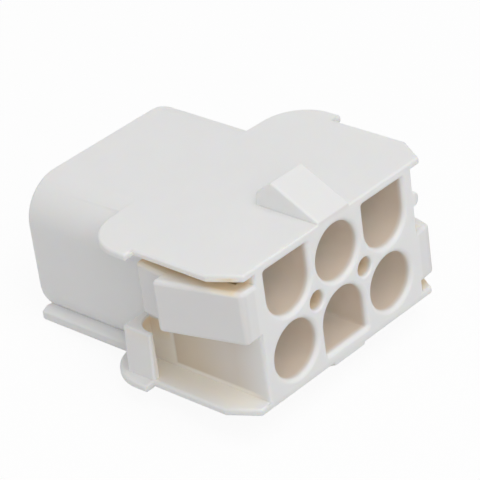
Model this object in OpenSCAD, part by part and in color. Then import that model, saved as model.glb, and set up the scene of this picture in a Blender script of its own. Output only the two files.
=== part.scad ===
// Panel-mount cable connector housing, moulded in one piece of natural polyamide.
// The mating face lies at Y = 0 and the wires enter from +Y. X runs along the rows of
// circuits and Z across them. The origin is the middle of the mating face.
// All sizes are in millimetres.

/* [Circuits] */

// Circuits in each of the two rows
columns = 3; // [2:1:6]
// Distance between neighbouring circuits, along and across the rows
pitch = 6.35; // [6.0:0.05:8.0]
// Radius of each socket in the mating face
socket_r = 2.7; // [2.4:0.05:2.75]
// Depth of the sockets from the mating face
socket_depth = 11.5; // [8:0.5:14]
// Corner radius of the square side of a keyed socket
key_corner_r = 0.2; // [0.2:0.05:0.8]
// Width of the rounded lip round the mouth of each socket
socket_lip = 0.45; // [0.2:0.05:0.45]
// Radius of the neck between a socket and its contact cavity
neck_r = 1.55; // [1.2:0.05:1.7]
// Length of the neck, which holds the contact's shoulder
neck_length = 1.6; // [1.0:0.1:2.5]
// Radius of each contact cavity, open at the wire side
contact_r = 2.1; // [1.9:0.05:2.4]
// Width of the lead-in round each wire entry
lead_in = 0.45; // [0.2:0.05:0.5]
// Radius of the blind core holes between the columns
core_hole_r = 0.9; // [0.6:0.05:1.0]
// Depth of the blind core holes
core_hole_depth = 9; // [4:0.5:12]
// Width of the rounded lip round the mouth of each core hole
core_lip = 0.25; // [0.1:0.05:0.3]

/* [Body] */

// Length of the housing from the mating face to the wire side
body_length = 27.66; // [24:0.1:34]
// Wall between the end sockets and the sides of the body
side_wall = 1.23; // [1.0:0.01:2.0]
// Wall between the upper row of sockets and the top
top_wall = 0.955; // [0.9:0.005:1.8]
// Wall between the lower row of sockets and the bottom
bottom_wall = 1.2; // [0.9:0.005:1.8]
// Corner radius of the wire-side block
block_corner_r = 3.95; // [2.5:0.05:4.5]

/* [Plates] */

// Thickness of the top and bottom plates
plate_t = 0.7; // [0.6:0.05:0.9]
// How far each plate stands out past the side of the body
plate_overhang = 2.82; // [2.4:0.02:3.6]
// How far the chamfered front corner is set in from the plate's side
front_chamfer_x = 1.6; // [1.0:0.1:2.4]
// Length of the chamfered front corner
front_chamfer_y = 2.85; // [1.5:0.05:4.0]

/* [Panel stop] */

// Distance from the mating face to the panel stop
stop_y = 11.1; // [10:0.05:13]
// How far the stop ears stand out past the plates
ear_step = 1.05; // [0.8:0.05:2.0]
// Length of the stop ears
ear_length = 5.7; // [5:0.1:8]
// Radius of the rear corner of the stop ears
ear_corner_r = 4.35; // [3.0:0.05:4.8]
// Length of the fence that stands on a stop ear
fence_length = 3.2; // [2.5:0.05:4.0]
// Distance from the middle plane to the open edge of the fence
fence_edge_z = 1.85; // [1.2:0.05:2.5]
// Wall thickness of the fence at its foot
fence_t = 0.75; // [0.6:0.05:1.0]
// Wall thickness of the fence at its open edge
fence_edge_t = 0.45; // [0.4:0.05:0.6]
// Corner radius of the pocket behind the fence
pocket_corner_r = 2.0; // [1.0:0.1:2.0]

/* [Side latches] */

// Thickness of the panel that the latches lock into
panel_t = 2.75; // [1.5:0.05:3.2]
// How far the latch stands out past the body at the mating face
latch_root_x = 1.72; // [1.5:0.02:2.2]
// How far the latch shoulder stands out past the body
latch_tip_x = 3.92; // [3.4:0.02:4.1]
// Depth of the shoulder that rests on the panel
latch_shoulder = 1.2; // [0.8:0.05:1.4]
// Length of the finger tab behind the shoulder
tab_length = 3.35; // [2.6:0.05:3.6]
// Thickness of the finger tab at its end
tab_t = 1.15; // [0.9:0.05:1.3]
// Gap between the latch arm and the body behind its root
arm_gap = 0.7; // [0.5:0.05:0.9]
// Length of the root that joins the latch to the body
root_length = 1.6; // [1.2:0.1:2.5]
// Height of the latch
latch_h = 5.1; // [4:0.05:5.2]
// Distance from the middle plane to the near edge of the latch
latch_edge_z = 0.12; // [0:0.02:0.3]

/* [Locking ramps] */

// Width of the ramp that the mating plug's latch rides over
ramp_w = 4.1; // [3:0.1:5]
// Height of the ramp above the plate at its crest
ramp_h = 2.7; // [2:0.02:3.2]
// Height of the ramp at the mating face
ramp_front_h = 0.2; // [0.1:0.05:0.4]
// Distance from the mating face to the crest
ramp_crest_y = 5.0; // [4:0.1:6]
// Distance from the mating face to the back of the ramp
ramp_back_y = 7.05; // [6.5:0.05:8]
// Height of the ramp at its back, below which it drops square
ramp_back_h = 1.22; // [0.8:0.02:1.6]

/* [Keys] */

// Radius of the rounded key rib on one side of the body
key_rib_r = 0.72; // [0.5:0.02:1.0]
// Height of the key rib's centre above the body's middle plane
key_rib_z = 3.1; // [2.6:0.1:4.2]
// How far the keel rails stand out past the side of the block
rail_out = 0.27; // [0.1:0.01:0.4]
// Height of the keel rails
rail_h = 1.45; // [1.2:0.05:1.8]
// Bevel along the outer edges of the keel rails
rail_bevel = 0.35; // [0.2:0.05:0.5]

/* [Hidden] */

$fn = 64;
rows = 2;
lip_steps = 4;
e = 0.01;

half_w = (columns - 1) / 2 * pitch + socket_r + side_wall;
top_z = (rows - 1) / 2 * pitch + socket_r + top_wall;
bottom_z = -(rows - 1) / 2 * pitch - socket_r - bottom_wall;
plate_x = half_w + plate_overhang;
ear_x = plate_x + ear_step;
ear_end_y = stop_y + ear_length;
fence_end_y = stop_y + fence_length;
shoulder_y = stop_y - panel_t;
contact_y = socket_depth + neck_length;

// One circuit position: its column and row counted from the lower left.
function circuit_x(column) = (column - (columns - 1) / 2) * pitch;
function circuit_z(row) = (row - (rows - 1) / 2) * pitch;
// Keyed and round sockets alternate like the squares of a draughts board.
function is_keyed(column, row) = (column + row) % 2 == 1;

// Cylinder along Y from y0 to y1.
module rod(r, x, z, y0, y1) {
    translate([x, y0, z]) rotate([-90, 0, 0]) cylinder(h = y1 - y0, r = r);
}

// Box between two opposite corners.
module block(low, high) {
    translate(low) cube(high - low);
}

// Shape drawn in X and Z, carried along Y from y0 to y1.
module along_y(y0, y1) {
    translate([0, y1, 0]) rotate([90, 0, 0]) linear_extrude(y1 - y0) children();
}

// Shape drawn in X and Y, carried up Z from z0 to z1.
module along_z(z0, z1) {
    translate([0, 0, z0]) linear_extrude(z1 - z0) children();
}

// What stands on the left, turned half a turn about Y to stand on the right.
module turned() {
    rotate([0, 180, 0]) children();
}

// Square front body between the plates.
module front_body() {
    block([-half_w, 0, bottom_z], [half_w, fence_end_y, top_z]);
}

// Wire-side block with round corners along its length.
module wire_block() {
    r = block_corner_r;
    y0 = fence_end_y - 1;
    block([-half_w, y0, bottom_z + r], [half_w, body_length, top_z - r]);
    block([r - half_w, y0, bottom_z], [half_w - r, body_length, top_z]);
    for (side = [-1, 1], z = [bottom_z + r, top_z - r])
        rod(r, side * (half_w - r), z, y0, body_length);
}

// One plate, from low_z up, with chamfered front corners and two stop ears whose
// rear corners are round.
module plate(low_z) {
    r = ear_corner_r;
    high_z = low_z + plate_t;
    along_z(low_z, high_z)
        polygon([
            [-plate_x + front_chamfer_x, 0], [plate_x - front_chamfer_x, 0],
            [plate_x, front_chamfer_y], [plate_x, stop_y + e],
            [-plate_x, stop_y + e], [-plate_x, front_chamfer_y]
        ]);
    block([r - ear_x, stop_y, low_z], [ear_x - r, ear_end_y, high_z]);
    intersection() {
        block([-ear_x, stop_y, low_z], [ear_x, ear_end_y, high_z]);
        union() {
            block([-ear_x, stop_y, low_z], [ear_x, ear_end_y - r, high_z]);
            for (side = [-1, 1])
                translate([side * (ear_x - r), ear_end_y - r, low_z])
                    cylinder(h = plate_t, r = r);
        }
    }
}

// Thin fence that carries the panel stop down from the middle of the left side to an
// ear foot_z below the middle plane.
module stop_fence(foot_z) {
    inner_x = plate_x - fence_t;
    r = pocket_corner_r;
    difference() {
        along_y(stop_y, fence_end_y)
            polygon([
                [-plate_x, -foot_z - e], [1 - half_w, -foot_z - e],
                [1 - half_w, -fence_edge_z],
                [-inner_x - fence_edge_t, -fence_edge_z]
            ]);
        // pocket between the fence and the body, round at its far corner
        block([-inner_x, stop_y - 1, -foot_z],
              [-half_w, fence_end_y - fence_t - r, 0]);
        block([r - inner_x, stop_y - 1, -foot_z],
              [-half_w, fence_end_y - fence_t, 0]);
        translate([r - inner_x, fence_end_y - fence_t - r, -foot_z])
            cylinder(h = foot_z, r = r);
    }
}

// Spring latch that snaps behind the panel, left side. It is joined to the body at the
// mating face only, and its finger tab reaches back through the panel.
module side_latch() {
    tip_x = half_w + latch_tip_x;
    tab_x = tip_x - latch_shoulder;
    tab_end_y = shoulder_y + tab_length;
    inner_x = half_w + arm_gap;
    along_z(latch_edge_z, latch_edge_z + latch_h)
        polygon([
            [1 - half_w, 0], [-half_w - latch_root_x, 0],
            [-tip_x, shoulder_y], [-tab_x, shoulder_y],
            [-tab_x + 0.4, tab_end_y], [-tab_x + 0.4 + tab_t, tab_end_y],
            [-inner_x, root_length], [1 - half_w, root_length]
        ]);
}

// Ramp at height z that the mating plug's latch climbs and drops behind.
module locking_ramp(z) {
    translate([-ramp_w / 2, 0, z])
        rotate([90, 0, 90])
            linear_extrude(ramp_w)
                polygon([
                    [0, -0.5], [0, ramp_front_h], [ramp_crest_y, ramp_h],
                    [ramp_back_y - 0.15, ramp_back_h], [ramp_back_y, 0],
                    [ramp_back_y, -0.5]
                ]);
}

// Rail that squares one lower corner of the wire-side block.
module keel_rail(side) {
    x = half_w + rail_out;
    rail_top_z = bottom_z + rail_h;
    b = rail_bevel;
    along_y(fence_end_y - fence_t / 2, body_length)
        polygon([
            [side * (half_w - block_corner_r), bottom_z],
            [side * (x - b), bottom_z], [side * x, bottom_z + b],
            [side * x, rail_top_z - b], [side * (x - 2 * b), rail_top_z],
            [side * (half_w - block_corner_r), rail_top_z]
        ]);
}

// Half-round rib that keys the housing to its mating plug on one side.
module key_rib() {
    rod(key_rib_r, half_w, key_rib_z, 0, stop_y);
}

// Points of a rounded lip of width w: how far each lies outside the wall, and how deep.
function lip_points(w, back) = concat(
    [[-back, -1], [w, -1]],
    [for (i = [0 : lip_steps]) let (a = 90 * i / lip_steps)
        [w * (1 - sin(a)), w * (1 - cos(a))]],
    [[-back, w]]
);

// Rounded lip of width w round a mouth of radius r in the mating face.
module round_lip(r, w, x, z) {
    points = lip_points(w, min(r, 0.3));
    translate([x, 0, z])
        rotate([-90, 0, 0])
            rotate_extrude()
                polygon([for (p = points) [r + p[0], p[1]]]);
}

// Rounded lips along the square side of a keyed socket, which faces up or down.
module square_lip(x, z, up) {
    r = socket_r;
    c = key_corner_r;
    points = lip_points(socket_lip, 0.3);
    z_soft = z + up * (r - c);
    translate([x - r + c, 0, z + up * r])
        rotate([90, 0, 90])
            linear_extrude(2 * (r - c))
                polygon([for (p = points) [p[1], up * p[0]]]);
    for (s = [-1, 1]) {
        along_z(min(z, z_soft), max(z, z_soft))
            polygon([for (p = points) [x + s * (r + p[0]), p[1]]]);
        round_lip(c, socket_lip, x + s * (r - c), z_soft);
    }
}

// Socket in the mating face, with one square side when it is keyed.
module socket(column, row) {
    x = circuit_x(column);
    z = circuit_z(row);
    rod(socket_r, x, z, -1, socket_depth);
    round_lip(socket_r, socket_lip, x, z);
    if (is_keyed(column, row)) {
        up = row == 0 ? -1 : 1;
        c = key_corner_r;
        z_side = z + up * socket_r;
        z_soft = z + up * (socket_r - c);
        block([x - socket_r, -1, min(z, z_soft)],
              [x + socket_r, socket_depth, max(z, z_soft)]);
        block([x - socket_r + c, -1, min(z, z_side)],
              [x + socket_r - c, socket_depth, max(z, z_side)]);
        for (s = [-1, 1])
            rod(c, x + s * (socket_r - c), z_soft, -1, socket_depth);
        square_lip(x, z, up);
    }
}

// Neck and contact cavity behind a socket, with a lead-in at the wire side.
module contact_cavity(column, row) {
    x = circuit_x(column);
    z = circuit_z(row);
    rod(neck_r, x, z, socket_depth - e, contact_y + e);
    rod(contact_r, x, z, contact_y, body_length + 1);
    translate([x, body_length - lead_in, z])
        rotate([-90, 0, 0])
            cylinder(h = lead_in + e, r1 = contact_r, r2 = contact_r + lead_in + e);
}

// The whole housing, one moulding.
module housing() {
    color([0.88, 0.88, 0.86])
        difference() {
            union() {
                front_body();
                wire_block();
                plate(top_z - plate_t);
                plate(bottom_z);
                side_latch();
                turned() side_latch();
                stop_fence(-bottom_z - plate_t);
                turned() stop_fence(top_z - plate_t);
                locking_ramp(top_z);
                mirror([0, 0, 1]) locking_ramp(-bottom_z);
                for (side = [-1, 1]) keel_rail(side);
                key_rib();
            }
            for (column = [0 : columns - 1], row = [0 : rows - 1]) {
                socket(column, row);
                contact_cavity(column, row);
            }
            for (column = [0 : columns - 2]) {
                x = circuit_x(column) + pitch / 2;
                rod(core_hole_r, x, 0, -1, core_hole_depth);
                round_lip(core_hole_r, core_lip, x, 0);
            }
        }
}

housing();
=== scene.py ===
import math

import bmesh
import bpy
from mathutils import Matrix, Vector


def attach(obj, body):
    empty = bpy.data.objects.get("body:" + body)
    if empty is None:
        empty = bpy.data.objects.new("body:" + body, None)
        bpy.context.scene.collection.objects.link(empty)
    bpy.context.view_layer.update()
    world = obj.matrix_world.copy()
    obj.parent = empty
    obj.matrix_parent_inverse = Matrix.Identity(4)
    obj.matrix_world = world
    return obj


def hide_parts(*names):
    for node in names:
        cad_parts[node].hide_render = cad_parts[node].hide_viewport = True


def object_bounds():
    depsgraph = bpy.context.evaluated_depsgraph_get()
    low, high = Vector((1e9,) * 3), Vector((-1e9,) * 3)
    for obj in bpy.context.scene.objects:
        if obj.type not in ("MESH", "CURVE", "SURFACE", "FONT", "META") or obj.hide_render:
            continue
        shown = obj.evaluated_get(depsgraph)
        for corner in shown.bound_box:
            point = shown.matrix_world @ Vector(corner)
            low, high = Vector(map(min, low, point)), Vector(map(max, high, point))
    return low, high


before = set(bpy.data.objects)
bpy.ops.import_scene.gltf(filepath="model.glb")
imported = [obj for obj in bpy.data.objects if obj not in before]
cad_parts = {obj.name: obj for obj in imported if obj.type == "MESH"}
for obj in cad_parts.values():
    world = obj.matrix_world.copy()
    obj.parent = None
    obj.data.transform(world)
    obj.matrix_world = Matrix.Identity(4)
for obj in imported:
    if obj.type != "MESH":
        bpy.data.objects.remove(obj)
CAD_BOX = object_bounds()

bl_info = {
    "name": "Cable Connector Housing",
    "version": (1, 0, 0),
    "blender": (4, 5, 0),
    "location": "View3D > Sidebar > Housing",
    "description": "Finishes a moulded cable connector housing and sets up its studio",
    "category": "Object",
}

MM = 0.001

# Places on the housing in millimetres, as its solid has them.
SOCKETS = (9.75, 6.5)       # half width and half height that hold every socket's mouth
CAVITIES = (8.95, 5.75)     # the same for the contact cavities
CORE_PLACE = 3.175          # distance of the core holes from the middle
CORE_REACH = 1.2            # half width that holds a core hole and its lip
SOCKET_REACH = 14.2         # depth that holds the sockets and their necks
HALF_WIDTH = 10.28          # side of the body
TOP, BOTTOM = 6.83, -7.075  # outer faces of the plates
PLATE = 0.7                 # thickness of the plates
CREST = 5.0                 # crest of the locking ramps, which the housing rests on
ARM_START = 1.0             # within the latches' roots, before their arms start
ARM_INSIDE = 10.9           # just short of the arms' inner faces
LATCH_MIDDLE = 11.5         # between the latches' inner faces and their outer ones
LATCH_TOP = 5.3             # just past the latches' tops, from the middle plane
LATCH_END = 11.7            # end of the latches' finger tabs
STOP = 11.1                 # front of the stop ears
FENCE_EDGE = 1.8            # just short of the fences' open edges, from the middle plane
FENCE_MIDDLE = 12.5         # between the fences' inner faces and their outer ones
FENCE_END = 14.3            # back of the stop fences
RAIL_TOP = -5.5             # just over the keel rails
RAIL_START = 17.0           # start of the keel rails behind the ears
RAIL_SIDES = (9.8, 10.6)    # just inside and outside the keel rails' outer faces
REAR = 27.66                # wire side


# ---------------------------------------------------------------- node maths

class Value:
    """A socket of a node tree that adds its maths nodes when it is calculated with."""

    def __init__(self, graph, socket):
        self.graph = graph
        self.socket = socket

    def _math(self, operation, *values, clamp=False):
        return self.graph.add(
            "ShaderNodeMath", dict(operation=operation, use_clamp=clamp), dict(enumerate(values)))

    def __add__(self, other):
        return self._math("ADD", self, other)

    def __radd__(self, other):
        return self._math("ADD", other, self)

    def __sub__(self, other):
        return self._math("SUBTRACT", self, other)

    def __rsub__(self, other):
        return self._math("SUBTRACT", other, self)

    def __mul__(self, other):
        return self._math("MULTIPLY", self, other)

    def __rmul__(self, other):
        return self._math("MULTIPLY", other, self)

    def __abs__(self):
        return self._math("ABSOLUTE", self)

    def sign(self):
        return self._math("SIGN", self)

    def above(self, edge, width=0.1):
        """1 where the value is above the edge, with a fade to 0 of this width across it."""
        return self._math("MULTIPLY_ADD", self, 1 / width, 0.5 - edge / width, clamp=True)

    def below(self, edge, width=0.1):
        """1 where the value is below the edge, with a fade to 0 of this width across it."""
        return self._math("MULTIPLY_ADD", self, -1 / width, 0.5 + edge / width, clamp=True)

    def highest(self, other):
        """The higher of two values."""
        return self._math("MAXIMUM", self, other)


class Graph:
    """A node tree that starts empty and ends in its output node."""

    def __init__(self, owner):
        owner.use_nodes = True
        self.tree = owner.node_tree
        self.tree.nodes.clear()

    def node(self, kind, settings=None, inputs=None):
        """Adds a node: its settings first, then the values and links of its sockets."""
        node = self.tree.nodes.new(kind)
        for key, value in (settings or {}).items():
            setattr(node, key, value)
        for key, value in (inputs or {}).items():
            socket = node.inputs[key]
            if isinstance(value, Value):
                self.tree.links.new(value.socket, socket)
            else:
                socket.default_value = value
        return node

    def add(self, kind, settings=None, inputs=None, output=0):
        """Adds a node and gives one of its outputs as a value."""
        return Value(self, self.node(kind, settings, inputs).outputs[output])

    def mix_colour(self, factor, first, second):
        """The first colour where the factor is 0, and the second where it is 1."""
        return self.add(
            "ShaderNodeMix", dict(data_type="RGBA", clamp_factor=True),
            {0: factor, 6: first, 7: second}, output=2)


def new_material(name):
    """A new material, and its empty graph."""
    material = bpy.data.materials.new(name)
    return material, Graph(material)


# ---------------------------------------------------------------- properties

class HousingLook(bpy.types.PropertyGroup):
    """Colours with painted shade and light, and roundings of the moulding."""

    colour: bpy.props.FloatVectorProperty(
        name="Nylon", subtype="COLOR", size=3, min=0, max=1,
        description="Colour of the natural nylon in the open",
        default=(0.880, 0.881, 0.885))
    # Painted light: the mating face and the ramps' sides are lighter where the light falls on
    # them.
    painted_light_colour: bpy.props.FloatVectorProperty(
        name="Bright", subtype="COLOR", size=3, min=0, max=1,
        description="Colour of the mating face and of the ramps' sides",
        default=(0.912, 0.915, 0.914))
    # Painted shade: the latches' outer faces are darker than the rest of the nylon.
    painted_latch_shade: bpy.props.FloatVectorProperty(
        name="Latches", subtype="COLOR", size=3, min=0, max=1,
        description="Colour of the latches' outer faces",
        default=(0.815, 0.808, 0.805))
    # Painted shade: darker, warmer nylon just inside the sockets, where little light gets in.
    painted_socket_shade: bpy.props.FloatVectorProperty(
        name="Socket Mouths", subtype="COLOR", size=3, min=0, max=1,
        description="Colour of the nylon just inside the sockets",
        default=(0.800, 0.695, 0.585))
    # Painted light: lighter, warm nylon deep in the sockets and cavities, where light comes
    # through the thin walls.
    painted_deep_light: bpy.props.FloatVectorProperty(
        name="Socket Depths", subtype="COLOR", size=3, min=0, max=1,
        description="Colour of the nylon deep in the sockets and cavities",
        default=(0.998, 0.930, 0.845))
    # Painted shade: darker, warmer side walls in the side bays, darkest at their far end.
    painted_bay_shade: bpy.props.FloatVectorProperty(
        name="Bay Walls", subtype="COLOR", size=3, min=0, max=1,
        description="Colour of the side walls in the side bays",
        default=(0.760, 0.700, 0.630))
    painted_bay_depth_shade: bpy.props.FloatVectorProperty(
        name="Bay Depths", subtype="COLOR", size=3, min=0, max=1,
        description="Colour of the side walls at the far end of the side bays",
        default=(0.730, 0.635, 0.510))
    # Painted light: lighter, warm bay floors, pockets and latch tops, where light comes through
    # the thin nylon.
    painted_cream_light: bpy.props.FloatVectorProperty(
        name="Cream", subtype="COLOR", size=3, min=0, max=1,
        description="Colour of the bay floors, the pockets and the tops of the latches",
        default=(0.975, 0.920, 0.845))
    # Painted shade: warm, darker core holes and deep gaps.
    painted_amber_shade: bpy.props.FloatVectorProperty(
        name="Amber", subtype="COLOR", size=3, min=0, max=1,
        description="Colour of the core holes and the deep gaps",
        default=(0.915, 0.790, 0.610))
    latch_edge: bpy.props.FloatProperty(
        name="Latch Edges", description="Rounding of the latches' outer edges",
        default=0.4 * MM, min=0, max=0.5 * MM, unit="LENGTH", precision=5)
    plate_edge: bpy.props.FloatProperty(
        name="Plate Edges", description="Rounding of the edges of the plates and the body",
        default=0.2 * MM, min=0, max=0.3 * MM, unit="LENGTH", precision=5)
    rear_edge: bpy.props.FloatProperty(
        name="Rear Edges", description="Rounding of the wire-side edges",
        default=0.3 * MM, min=0, max=0.4 * MM, unit="LENGTH", precision=5)


class StudioLook(bpy.types.PropertyGroup):
    """Levels of the studio."""

    ambient: bpy.props.FloatProperty(
        name="Ambient", description="Level of the even light from all round",
        default=0.49, min=0, max=2)
    key: bpy.props.FloatProperty(
        name="Key Light", description="Power of the soft light above the housing",
        default=0.68, min=0, max=20, unit="POWER")
    fill: bpy.props.FloatProperty(
        name="Fill Light", description="Power of the soft light beside the camera",
        default=0.47, min=0, max=20, unit="POWER")
    lamp_size: bpy.props.FloatProperty(
        name="Lamp Size", description="Width of both soft lights",
        default=0.3, min=0.01, max=2, unit="LENGTH")
    floor_white: bpy.props.FloatProperty(
        name="Floor White", description="How far the floor seen by the camera is plain white",
        default=0.92, min=0, max=1, subtype="FACTOR")


# ---------------------------------------------------------------- the moulding

WIDEST = 0.5     # rounding in millimetres that a bevel weight of 1 stands for
RAIL_END = 0.2   # rounding of the keel rails at the wire side
SMALL = 0.18     # rounding of the ramps and the fences
FINEST = 0.1     # rounding of the ramps' front, the keel rails and the fences' inner side
BODY_PART = 0.8  # rounding of the body's other edges, as a part of the plates'
ON = 0.01        # how far from a face an edge still lies on it, in millimetres
CLEAR = 0.05     # how far from a plate's outer face an edge is plainly off it

JOIN = 2e-6                     # distance in metres that joins two vertices
FLAT = math.radians(0.5)        # angle between faces that are one flat face
SHARP = math.radians(28)        # angle from which an edge isn't smoothed over
ROUNDED = math.radians(40)      # angle from which an edge is rounded


def merged_mesh(node, name):
    """A new object with a copy of a solid of the frame, and its joined-up bmesh."""
    mesh = node.data.copy()
    mesh.name = name
    piece = bpy.data.objects.new(name, mesh)
    bpy.context.scene.collection.objects.link(piece)
    bm = bmesh.new()
    bm.from_mesh(mesh)
    bmesh.ops.remove_doubles(bm, verts=bm.verts, dist=JOIN)
    bmesh.ops.dissolve_limit(
        bm, angle_limit=FLAT, verts=bm.verts, edges=bm.edges, use_dissolve_boundaries=False)
    return piece, bm


def rounding(edge, look):
    """Rounding in millimetres that an edge of the moulding gets, or 0."""
    a, b = (v.co / MM for v in edge.verts)
    mid = (a + b) / 2
    side, height = abs(mid.x), abs(mid.z)
    bay_side = mid.z if mid.x > 0 else -mid.z
    plate_edge, latch_edge = look.plate_edge / MM, look.latch_edge / MM

    # The sockets, the core holes and the cavities keep the lips of the solid.
    if side < CAVITIES[0] and height < CAVITIES[1]:
        return 0
    if side < SOCKETS[0] and height < SOCKETS[1] and mid.y < SOCKET_REACH:
        return 0
    if not edge.is_convex or edge.calc_face_angle() < ROUNDED:
        return 0

    if mid.z > TOP + CLEAR or mid.z < BOTTOM - CLEAR:  # locking ramps
        return FINEST if mid.y < ON else SMALL
    if mid.z < RAIL_TOP and mid.y > RAIL_START and RAIL_SIDES[0] < side < RAIL_SIDES[1]:
        return RAIL_END if mid.y > REAR - ON else FINEST
    if mid.y > REAR - ON:
        return look.rear_edge / MM
    if mid.z > TOP - PLATE - ON or mid.z < BOTTOM + PLATE + ON:
        return plate_edge

    past_body = side > HALF_WIDTH + ON
    if past_body and mid.y < LATCH_END + ON and -LATCH_TOP < bay_side < 0:
        if mid.y > ARM_START and max(abs(a.x), abs(b.x)) < LATCH_MIDDLE:
            return 0 if side < ARM_INSIDE else latch_edge / 2
        return latch_edge
    if past_body and mid.y > STOP - ON and bay_side > FENCE_EDGE:
        return FINEST if side < FENCE_MIDDLE and mid.y < FENCE_END - ON else SMALL
    return BODY_PART * plate_edge


class OBJECT_OT_housing(bpy.types.Operator):
    """Build the moulded housing from the frame's solid"""

    bl_idname = "object.connector_housing"
    bl_label = "Housing"

    def execute(self, context):
        look = context.scene.housing_look
        piece, bm = merged_mesh(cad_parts["housing"], "nylon_housing")
        bm.normal_update()
        layer = bm.edges.layers.float.new("bevel_weight_edge")
        for face in bm.faces:
            face.smooth = True
        for edge in bm.edges:
            if not edge.is_manifold:
                raise RuntimeError("the housing's solid didn't join up")
            edge[layer] = rounding(edge, look) / WIDEST
            edge.smooth = edge.calc_face_angle() < SHARP
        bm.to_mesh(piece.data)
        bm.free()
        bevel = piece.modifiers.new("Moulded edges", "BEVEL")
        bevel.limit_method = "WEIGHT"
        bevel.width = WIDEST * MM
        bevel.segments = 3
        bevel.profile = 0.5
        bevel.use_clamp_overlap = False
        bevel.loop_slide = False
        normals = piece.modifiers.new("Normals", "WEIGHTED_NORMAL")
        normals.keep_sharp = True
        piece.data.materials.clear()
        piece.data.materials.append(nylon_with_painted_light(look))
        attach(piece, "root")
        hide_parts("housing")
        return {"FINISHED"}


# Where the painted shade and light on the nylon change, in millimetres: the middle of each fade,
# and its width.
LIP_END = (0.55, 0.5)                   # behind the sockets' lips
NECK_END = (13.0, 1.0)                  # at the back of the sockets' necks
ENTRY_START = (REAR - 0.6, 0.8)         # before the lips of the wire entries
SOCKET_DEPTH = (3.2, 4.6)               # down into the sockets
FLANK_FACE = (HALF_WIDTH - 0.1, 0.1)    # just inside the body's sides
FLANK_EDGE = (6.6, 0.2)                 # top and bottom of the recesses between the plates
BAY_EDGE = (-0.2, 0.4)                  # where the open bays meet the latches' half
WALL_FACE = (10.6, 0.2)                 # just outside the body's side walls
WALL_START = (2.0, 3.2)                 # from the mating face along the walls
WALL_DEPTH = (6.5, 3.5)                 # towards the far end of the walls
EAR_FRONT = (STOP - 0.2, 0.3)           # where the bays end and the pockets start
FLOOR_FACE = (5.95, 0.2)                # just inside the plates' inner faces
FLOOR_SIDE = (12.4, 1.4)                # towards the plates' open sides
FLOOR_START = (1.2, 1.6)                # from the mating face along the floors
FLOOR_END = (STOP, 0.2)                 # where the floors meet the ears
POCKET_SIDE = (12.7, 0.4)               # just past the fences' inner faces
POCKET_EDGE = (2.1, 0.2)                # the pockets' open edges
POCKET_END = (FENCE_END - 0.4, 0.3)     # the backs of the pockets
POCKET_START = (STOP + 0.2, 0.3)        # behind the fences' front edges
POCKET_DEPTH = (3.2, 2.0)               # down into the pockets
ARM_FRONT = (0.6, 0.8)                  # just behind the mating face, along the latches
ARM_END = (12.2, 1.6)                   # past the finger tabs
ARM_EDGE = (0.0, 0.4)                   # near edges of the latches
ARM_TOP = (-4.95, 0.2)                  # the latches' tops
ARM_TOP_SIDE = (13.0, 0.8)              # towards the outer edge of those tops
GAP_SIDE = (11.2, 0.4)                  # just past the inner faces of the latches' arms
GAP_TOP_SIDE = (12.4, 0.6)              # the shaded part of the latches' tops
LATCH_FACE = (LATCH_MIDDLE, 0.3)        # the latches' outer faces
LATCH_EDGE = (-0.1, 0.1)                # their near edges
TAB_END = (LATCH_END + 0.2, 0.2)        # just past the finger tabs
MATING_SIDE = (HALF_WIDTH + 0.2, 0.2)   # just past the sides of the mating face
MATING_EDGE = (TOP - 0.2, 0.4)          # top and bottom of the mating face
MATING_DEPTH = (0.4, 0.3)               # how far the mating face's brightness goes in

# Where the ramps' sides are, in millimetres.
RAMP_FOOT = 0.12                        # height over the plates where the ramps' sides start
RAMP_SIDE = 1.95                        # just inside the ramps' side faces


def painted_socket_masks(side, height, y):
    """Places in the sockets and cavities that get painted shade and light: all of them, the deep
    ones and the core holes.
    """
    mouths = side.below(SOCKETS[0]) * height.below(SOCKETS[1]) * y.below(*NECK_END)
    cavities = side.below(CAVITIES[0]) * height.below(CAVITIES[1])
    sockets = mouths.highest(cavities) * y.above(*LIP_END) * y.below(*ENTRY_START)
    deep = sockets * y.above(*SOCKET_DEPTH)
    cores = sockets * abs(side - CORE_PLACE).below(CORE_REACH) * height.below(CORE_REACH)
    return sockets, deep, cores


def painted_bay_masks(flank, side, height, y, bay_side):
    """Places in the side bays for painted shade and light: walls, far ends of walls, painted light
    places, and pockets' tops.
    """
    bay = flank * bay_side.above(*BAY_EDGE)
    walls = bay * side.below(*WALL_FACE) * y.above(*WALL_START) * y.below(*EAR_FRONT)
    wall_depths = walls * y.above(*WALL_DEPTH)
    floors = bay * height.above(*FLOOR_FACE) * side.below(*FLOOR_SIDE) * y.above(*FLOOR_START)
    pockets = bay * side.below(*POCKET_SIDE) * y.above(*EAR_FRONT)
    pockets = pockets * bay_side.above(*POCKET_EDGE) * y.below(*POCKET_END)
    pocket_tops = pockets * y.above(*POCKET_START) * bay_side.below(*POCKET_DEPTH)
    painted_light_places = pockets.highest(floors * y.below(*FLOOR_END))
    return walls, wall_depths, painted_light_places, pocket_tops


def painted_latch_masks(flank, side, y, bay_side):
    """Places on the latches for painted shade and light: their outer faces, their tops, and the
    gaps beside them.
    """
    arms = flank * y.above(*ARM_FRONT) * y.below(*ARM_END) * bay_side.below(*ARM_EDGE)
    arm_tops = arms * bay_side.below(*ARM_TOP) * side.below(*ARM_TOP_SIDE)
    gaps = arms * side.below(*GAP_SIDE).highest(arm_tops * side.below(*GAP_TOP_SIDE))
    faces = side.above(*LATCH_FACE) * y.below(*TAB_END)
    faces = faces * bay_side.below(*LATCH_EDGE) * bay_side.above(-LATCH_TOP)
    return faces, arm_tops, gaps


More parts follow.
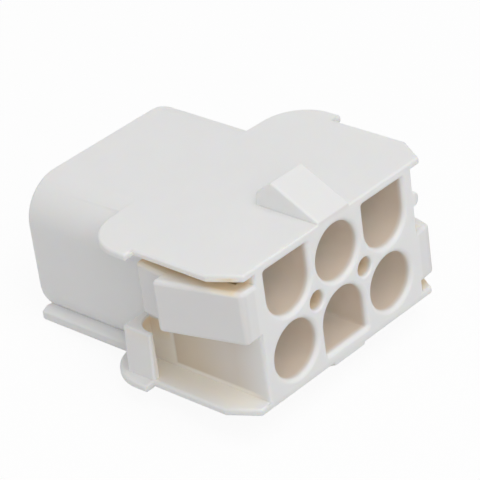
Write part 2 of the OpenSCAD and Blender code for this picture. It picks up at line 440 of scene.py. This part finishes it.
def painted_light_mask(side, height, y, z):
    """Places painted lighter where they catch the light: the mating face with its lips, and the
    ramps' sides.
    """
    face = side.below(*MATING_SIDE) * height.below(*MATING_EDGE) * y.below(*MATING_DEPTH)
    ramps = z.above(TOP + RAMP_FOOT).highest(z.below(BOTTOM - RAMP_FOOT))
    return face.highest(ramps * side.above(RAMP_SIDE))


SHADE = (0.975, 0.970, 0.955)   # darkest colour of the mottle, as parts of the nylon's
ROUGHNESS = 0.38                # least roughness of the nylon
ROUGHER = 0.10                  # what the mottle adds to it at most


def nylon_with_painted_light(look):
    """Semi-matt natural nylon with painted warm shade and painted light where light sinks into the
    moulding.
    """
    material, graph = new_material("nylon_with_painted_light")
    place = graph.add("ShaderNodeTexCoord", output=3)
    in_mm = graph.add(
        "ShaderNodeVectorMath", dict(operation="SCALE"), {0: place, "Scale": 1 / MM})
    split = graph.node("ShaderNodeSeparateXYZ", {}, {0: in_mm})
    x, y, z = (Value(graph, out) for out in split.outputs)
    side, height = abs(x), abs(z)
    bay_side = z * x.sign()     # positive on the half of each flank that has the open bay
    sockets, deep, cores = painted_socket_masks(side, height, y)
    flank = side.above(*FLANK_FACE) * height.below(*FLANK_EDGE)
    walls, wall_depths, painted_light_places, pocket_tops = painted_bay_masks(flank, side, height, y, bay_side)
    latches, arm_tops, gaps = painted_latch_masks(flank, side, y, bay_side)

    mottle = graph.add("ShaderNodeTexNoise", {}, {"Vector": place, "Scale": 330.0, "Detail": 3.0})
    cloud = graph.add("ShaderNodeTexNoise", {}, {"Vector": place, "Scale": 90.0, "Detail": 1.0})
    shade = tuple(level * part for level, part in zip(look.colour, SHADE))
    colour = graph.mix_colour(mottle * 0.6 + cloud * 0.4, (*look.colour, 1), (*shade, 1))
    # Painted shade and painted light over the nylon's mottled colour, place by place.
    for mask, tint in (
            (painted_light_mask(side, height, y, z), look.painted_light_colour),
            (latches, look.painted_latch_shade),
            (walls, look.painted_bay_shade),
            (wall_depths, look.painted_bay_depth_shade),
            (painted_light_places.highest(arm_tops), look.painted_cream_light),
            (pocket_tops.highest(gaps), look.painted_amber_shade),
            (sockets, look.painted_socket_shade),
            (deep, look.painted_deep_light),
            (cores, look.painted_amber_shade)):
        colour = graph.mix_colour(mask, colour, (*tint, 1))

    grain = graph.add("ShaderNodeTexNoise", {}, {"Vector": place, "Scale": 9000.0, "Detail": 2.0})
    bump = graph.add(
        "ShaderNodeBump", {}, {"Strength": 0.15, "Distance": 0.02 * MM, "Height": grain})
    skin = graph.add(
        "ShaderNodeBsdfPrincipled", {},
        {"Base Color": colour, "Roughness": ROUGHNESS + ROUGHER * mottle, "Normal": bump,
         "IOR": 1.5, "Subsurface Weight": 0.4, "Subsurface Radius": (1.0, 0.75, 0.5),
         "Subsurface Scale": 0.8 * MM})
    graph.node("ShaderNodeOutputMaterial", {}, {"Surface": skin})
    return material


# ---------------------------------------------------------------- the studio

# The camera's right, up and back directions, its place in millimetres, and its lens.
CAMERA_AXES = (
    (0.66364, -0.73819, -0.12107), (0.44219, 0.25659, 0.85943), (-0.60336, -0.62389, 0.49670))
CAMERA_PLACE = (-142.23, -135.41, 117.95)
CAMERA_LENS = 200.82
SENSOR = 36

# Lamps and floor in metres.
KEY_PLACE = (0.0, -0.19, 0.4575)
FILL_PLACE = (-0.20, -0.34, 0.295)
LAMP_AIM = (0, 0.012, 0)
FLOOR_SIZE = 0.6        # half width of the floor

WHITE = (1, 1, 1, 1)
BOUNCE = (0.75, 0.75, 0.75, 1)  # colour of the floor in the light that it throws back


def seen_ray(graph):
    """1 for what the camera sees, also in gloss or through something clear."""
    path = graph.node("ShaderNodeLightPath")
    rays = [Value(graph, path.outputs[name]) for name in
            ("Is Camera Ray", "Is Glossy Ray", "Is Transmission Ray")]
    return rays[0].highest(rays[1]).highest(rays[2])


class OBJECT_OT_studio(bpy.types.Operator):
    """Set up the floor, the light and the camera"""

    bl_idname = "object.connector_studio"
    bl_label = "Studio"

    def execute(self, context):
        scene = context.scene
        look = scene.studio_look
        scene.view_settings.view_transform = "Standard"
        self.add_camera(scene)
        self.add_floor(scene, look)
        self.add_world(scene, look)
        self.add_lamp(scene, look, "key", look.key, KEY_PLACE)
        self.add_lamp(scene, look, "fill", look.fill, FILL_PLACE)
        return {"FINISHED"}

    def add_camera(self, scene):
        data = bpy.data.cameras.new("camera")
        data.lens = CAMERA_LENS
        data.sensor_width = SENSOR
        data.clip_start = 0.01
        camera = bpy.data.objects.new("camera", data)
        scene.collection.objects.link(camera)
        axes = Matrix([Vector(axis) for axis in CAMERA_AXES]).transposed().to_4x4()
        camera.matrix_world = Matrix.Translation(Vector(CAMERA_PLACE) * MM) @ axes
        scene.camera = camera

    def add_floor(self, scene, look):
        """Floor through the two lines that the housing rests on: crest and wire-side edge."""
        lowest = CAD_BOX[0][2]
        slope = math.atan2(BOTTOM * MM - lowest, (REAR - CREST) * MM)
        bm = bmesh.new()
        bmesh.ops.create_grid(bm, x_segments=1, y_segments=1, size=FLOOR_SIZE)
        bmesh.ops.rotate(bm, verts=bm.verts, cent=(0, 0, 0), matrix=Matrix.Rotation(slope, 3, "X"))
        bmesh.ops.translate(bm, verts=bm.verts, vec=(0, CREST * MM, lowest))
        mesh = bpy.data.meshes.new("floor")
        bm.to_mesh(mesh)
        bm.free()
        floor = bpy.data.objects.new("floor", mesh)
        scene.collection.objects.link(floor)
        mesh.materials.append(white_floor(look))

    def add_world(self, scene, look):
        """Even light from all round, with plain white behind the housing."""
        world = bpy.data.worlds.new("studio")
        scene.world = world
        graph = Graph(world)
        soft = graph.add("ShaderNodeBackground", {}, {0: WHITE, 1: look.ambient})
        white = graph.add("ShaderNodeBackground", {}, {0: WHITE, 1: 1.0})
        mix = graph.add("ShaderNodeMixShader", {}, {0: seen_ray(graph), 1: soft, 2: white})
        graph.node("ShaderNodeOutputWorld", {}, {"Surface": mix})

    def add_lamp(self, scene, look, name, power, place):
        """A soft square lamp aimed at the housing."""
        data = bpy.data.lights.new(name, "AREA")
        data.energy = power
        data.size = look.lamp_size
        lamp = bpy.data.objects.new(name, data)
        scene.collection.objects.link(lamp)
        way = Vector(LAMP_AIM) - Vector(place)
        lamp.matrix_world = (
            Matrix.Translation(place) @ way.to_track_quat("-Z", "Y").to_matrix().to_4x4())


def white_floor(look):
    """White floor that keeps a faint shadow, and throws back plain light."""
    material, graph = new_material("white_floor")
    bounce = graph.add("ShaderNodeBsdfDiffuse", {}, {"Color": BOUNCE})
    shown = graph.add("ShaderNodeBsdfDiffuse", {}, {"Color": WHITE})
    white = graph.add("ShaderNodeEmission", {}, {"Color": WHITE, "Strength": 1.0})
    seen = graph.add("ShaderNodeMixShader", {}, {0: look.floor_white, 1: shown, 2: white})
    mix = graph.add("ShaderNodeMixShader", {}, {0: seen_ray(graph), 1: bounce, 2: seen})
    graph.node("ShaderNodeOutputMaterial", {}, {"Surface": mix})
    return material


class VIEW3D_PT_housing(bpy.types.Panel):
    """Values of the housing and the studio, and what builds them"""

    bl_label = "Cable Connector Housing"
    bl_idname = "VIEW3D_PT_connector_housing"
    bl_space_type = "VIEW_3D"
    bl_region_type = "UI"
    bl_category = "Housing"

    def draw(self, context):
        layout = self.layout
        scene = context.scene
        for owner in (scene.housing_look, scene.studio_look):
            for name in owner.__annotations__:
                layout.prop(owner, name)
        for operator in OPERATORS:
            layout.operator(operator.bl_idname)


OPERATORS = (OBJECT_OT_housing, OBJECT_OT_studio)
CLASSES = (HousingLook, StudioLook, *OPERATORS, VIEW3D_PT_housing)


def register():
    for cls in CLASSES:
        bpy.utils.register_class(cls)
    bpy.types.Scene.housing_look = bpy.props.PointerProperty(type=HousingLook)
    bpy.types.Scene.studio_look = bpy.props.PointerProperty(type=StudioLook)


def unregister():
    del bpy.types.Scene.studio_look
    del bpy.types.Scene.housing_look
    for cls in reversed(CLASSES):
        bpy.utils.unregister_class(cls)


def main():
    """Builds the housing and the studio."""
    register()
    bpy.ops.object.connector_housing()
    bpy.ops.object.connector_studio()


if __name__ == "__main__":
    main()
